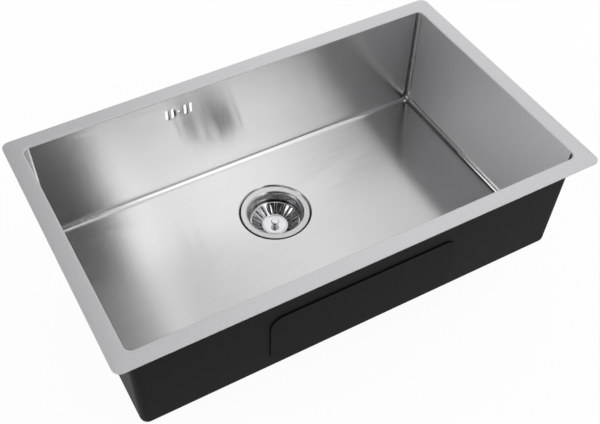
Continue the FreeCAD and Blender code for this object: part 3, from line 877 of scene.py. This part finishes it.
def from_to(tree, value, low, high):
    """0 up to a low value, 1 from a high value on, and a straight way between."""
    limits = tree.nodes.new("ShaderNodeMapRange")
    limits.inputs["From Min"].default_value = low
    limits.inputs["From Max"].default_value = high
    tree.links.new(value, limits.inputs["Value"])
    return limits.outputs["Result"]


def mixed(tree, factor, first):
    mix = tree.nodes.new("ShaderNodeMix")
    mix.data_type = "RGBA"
    tree.links.new(factor, mix.inputs["Factor"])
    tree.links.new(first, mix.inputs["A"])
    return mix


def tent_finish():
    finish, tree, shader = new_finish("tent cloth")
    tree.nodes.remove(shader)
    place = tree.nodes.new("ShaderNodeTexCoord")
    outwards = tree.nodes.new("ShaderNodeVectorMath")
    outwards.operation = "NORMALIZE"
    split = tree.nodes.new("ShaderNodeSeparateXYZ")
    tree.links.new(place.outputs["Object"], outwards.inputs[0])
    tree.links.new(outwards.outputs["Vector"], split.inputs["Vector"])
    rightwards = from_to(tree, split.outputs["X"], -1, 1)
    backwards = from_to(tree, split.outputs["Y"], -SEAM, SEAM)
    cloth = mixed(tree, backwards, cloth_ramp(tree, rightwards, IN_FRONT))
    tree.links.new(cloth_ramp(tree, rightwards, BEHIND), cloth.inputs["B"])
    overhead = from_to(tree, split.outputs["Z"], ROOF_START, ROOF_FULL)
    roof = mixed(tree, overhead, cloth.outputs["Result"])
    roof.inputs["B"].default_value = ROOF_SHARE
    glow = tree.nodes.new("ShaderNodeEmission")
    glow.inputs["Strength"].default_value = TENT_LIGHT
    tree.links.new(roof.outputs["Result"], glow.inputs["Color"])
    tree.links.new(glow.outputs["Emission"], tree.nodes["Material Output"].inputs["Surface"])
    return finish


cloth_finish = tent_finish()
print(cloth_finish.name, "has", len(cloth_finish.node_tree.nodes), "nodes")

# %% Pitching the tent
TENT_RADIUS = 6.0  # metres

ball = bmesh.new()
bmesh.ops.create_uvsphere(ball, u_segments=32, v_segments=16, radius=TENT_RADIUS)
tent = as_object("tent", ball, [cloth_finish])
tent.visible_camera = False
tent.visible_diffuse = False
tent.visible_shadow = False
print("tent pitched with a radius of", TENT_RADIUS)

# %% [markdown]
# ## Room light and one soft box
# The room lights everything evenly, at a level at which a colour looks as it is written. What is
# seen behind the sink is a plain white. One large soft box above and to the right gives the pads
# and the ground a little shape, and the steel doesn't mirror it.

# %% The room
ROOM_LIGHT = 0.85
WHITE = (1, 1, 1, 1)


def pale_room():
    world = bpy.data.worlds.new("pale room")
    world.use_nodes = True
    tree = world.node_tree
    lighting = tree.nodes["Background"]
    lighting.inputs["Color"].default_value = WHITE
    lighting.inputs["Strength"].default_value = ROOM_LIGHT
    backdrop = tree.nodes.new("ShaderNodeBackground")
    backdrop.inputs["Color"].default_value = WHITE
    blend = tree.nodes.new("ShaderNodeMixShader")
    tree.links.new(seen_ray(tree), blend.inputs["Fac"])
    tree.links.new(lighting.outputs["Background"], blend.inputs[1])
    tree.links.new(backdrop.outputs["Background"], blend.inputs[2])
    tree.links.new(blend.outputs["Shader"], tree.nodes["World Output"].inputs["Surface"])
    return world


bpy.context.scene.world = pale_room()
print("room light", ROOM_LIGHT)

# %% The soft box
KEY_PLACE = Vector((0.9, -0.6, 2.0))
KEY_SIZE, KEY_POWER = 1.4, 6.0  # metres and watts

key_light = bpy.data.lights.new("key box", "AREA")
key_light.shape = "SQUARE"
key_light.size = KEY_SIZE
key_light.energy = KEY_POWER
key = bpy.data.objects.new("key box", key_light)
bpy.context.scene.collection.objects.link(key)
key.location = KEY_PLACE
key.rotation_euler = KEY_PLACE.to_track_quat("Z", "Y").to_euler()
key.visible_glossy = False
print("soft box of", KEY_POWER, "W at", tuple(round(c, 2) for c in KEY_PLACE))

# %% [markdown]
# ## The camera
# The camera stands where the photograph was taken, in front of the sink, a little to its left
# and well above it. Its place, angle and lens come from a fit of the sink's straight edges.

# %% Placing the camera
CAMERA_PLACE = (-0.4626, -0.7740, 0.8921)
CAMERA_ANGLES = (39.261, 0.2745, -28.255)  # degrees round X, Y and Z

view = bpy.data.cameras.new("catalogue view")
view.lens = 52.83
view.sensor_width = 36
view.sensor_fit = "HORIZONTAL"
view.shift_x, view.shift_y = 0.0570, 0.0565
view.dof.use_dof = False
camera = bpy.data.objects.new("catalogue view", view)
bpy.context.scene.collection.objects.link(camera)
camera.location = CAMERA_PLACE
camera.rotation_euler = [math.radians(a) for a in CAMERA_ANGLES]
bpy.context.scene.camera = camera
bpy.context.scene.view_settings.view_transform = "Standard"
print("camera at", tuple(round(c, 3) for c in camera.location))
